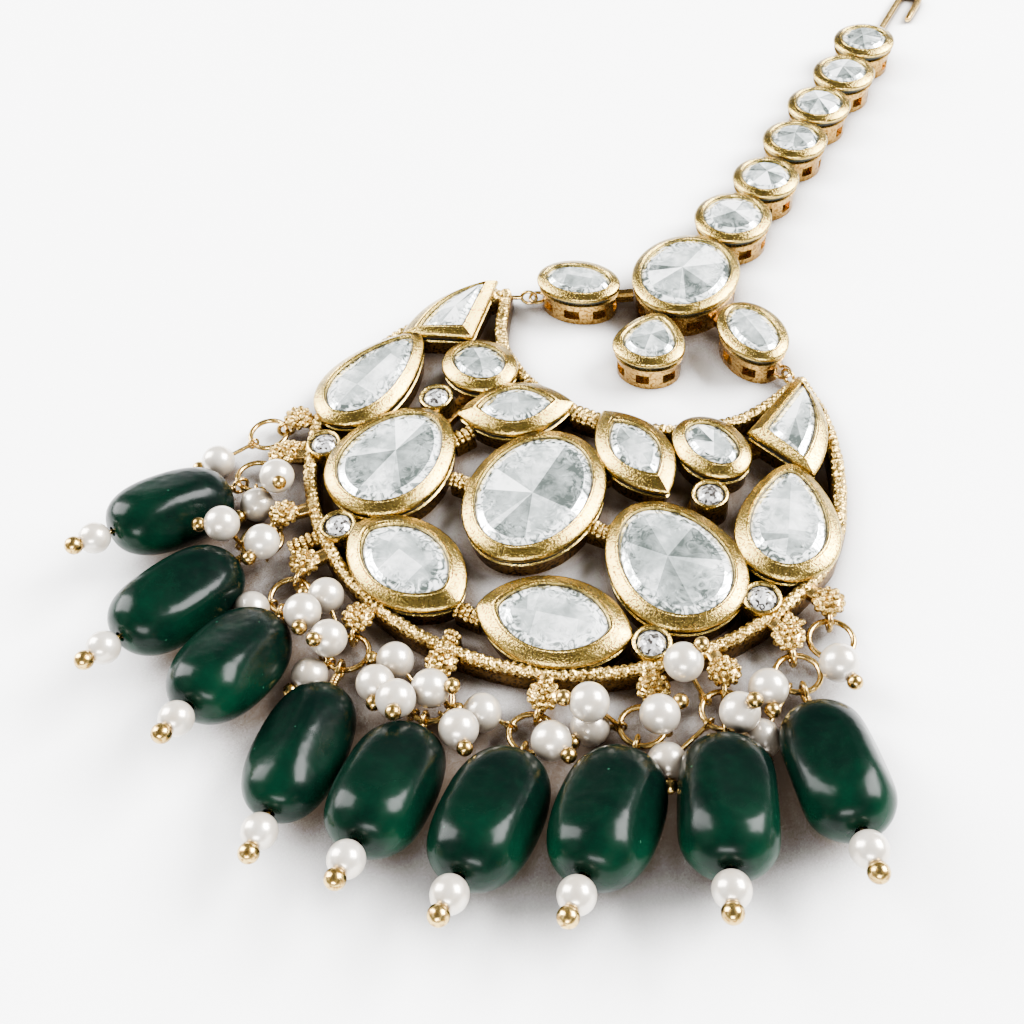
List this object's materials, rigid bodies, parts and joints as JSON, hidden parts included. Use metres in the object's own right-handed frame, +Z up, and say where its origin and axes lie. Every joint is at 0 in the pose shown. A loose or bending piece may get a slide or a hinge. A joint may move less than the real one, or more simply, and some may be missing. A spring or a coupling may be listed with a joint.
{
  "type": "maang tikka",
  "caption": "Head ornament: crescent pendant of flat foil-backed stones in gold bezels, a fringe of pearls and green beads, stone links above and a round-stone chain ending in a hook.",
  "frame": {"origin": "on the table under the flat underside of the centre setting", "axes": "+Y up the chain from the pendant to the hook, +Z up through the stones' faces, +X to the right as worn facing the viewer"},
  "size_m": [0.0879, 0.1702, 0.0112],
  "materials": {
    "antique_gold": "pale antique gold, softly worn",
    "copper_gold": "warm copper gold, satin",
    "crystal": "clear faceted stone over silver foil",
    "pearl": "white pearl lustre, with gold wire rings and pins",
    "green_stone": "deep green polished tumbled stone"
  },
  "bodies": {
    "root": {"pendant_frame": "antique_gold", "stone_centre": "crystal", "stone_large_left": "crystal", "stone_large_right": "crystal", "stone_pear_left": "crystal", "stone_pear_right": "crystal", "stone_small_left": "crystal", "stone_small_right": "crystal", "stone_leaf_left": "crystal", "stone_leaf_right": "crystal", "stone_horn_left": "crystal", "stone_horn_right": "crystal", "stone_marquise_left": "crystal", "stone_marquise_right": "crystal", "round_stone_upper_left": "crystal", "round_stone_upper_right": "crystal", "round_stone_side_left": "crystal", "round_stone_side_right": "crystal", "round_stone_lower_left": "crystal", "round_stone_lower_right": "crystal", "link_main": "copper_gold", "link_stone_main": "crystal", "link_left": "copper_gold", "link_stone_left": "crystal", "link_right": "copper_gold", "link_stone_right": "crystal", "link_drop": "copper_gold", "link_stone_drop": "crystal", "chain": "copper_gold", "end_hook": "antique_gold", "green_bead_1": "green_stone", "bead_pin_1": "antique_gold", "green_bead_2": "green_stone", "bead_pin_2": "antique_gold", "green_bead_3": "green_stone", "bead_pin_3": "antique_gold", "green_bead_4": "green_stone", "bead_pin_4": "antique_gold", "green_bead_5": "green_stone", "bead_pin_5": "antique_gold", "green_bead_6": "green_stone", "bead_pin_6": "antique_gold", "green_bead_7": "green_stone", "bead_pin_7": "antique_gold", "green_bead_8": "green_stone", "bead_pin_8": "antique_gold", "green_bead_9": "green_stone", "bead_pin_9": "antique_gold", "pearl_cluster_1": "pearl", "pearl_cluster_2": "pearl", "pearl_cluster_3": "pearl", "pearl_cluster_4": "pearl", "pearl_cluster_5": "pearl", "pearl_cluster_6": "pearl", "pearl_cluster_7": "pearl", "pearl_cluster_8": "pearl", "pearl_cluster_9": "pearl", "pearl_cluster_10": "pearl", "pearl_cluster_11": "pearl"}
  },
  "joints": []
}
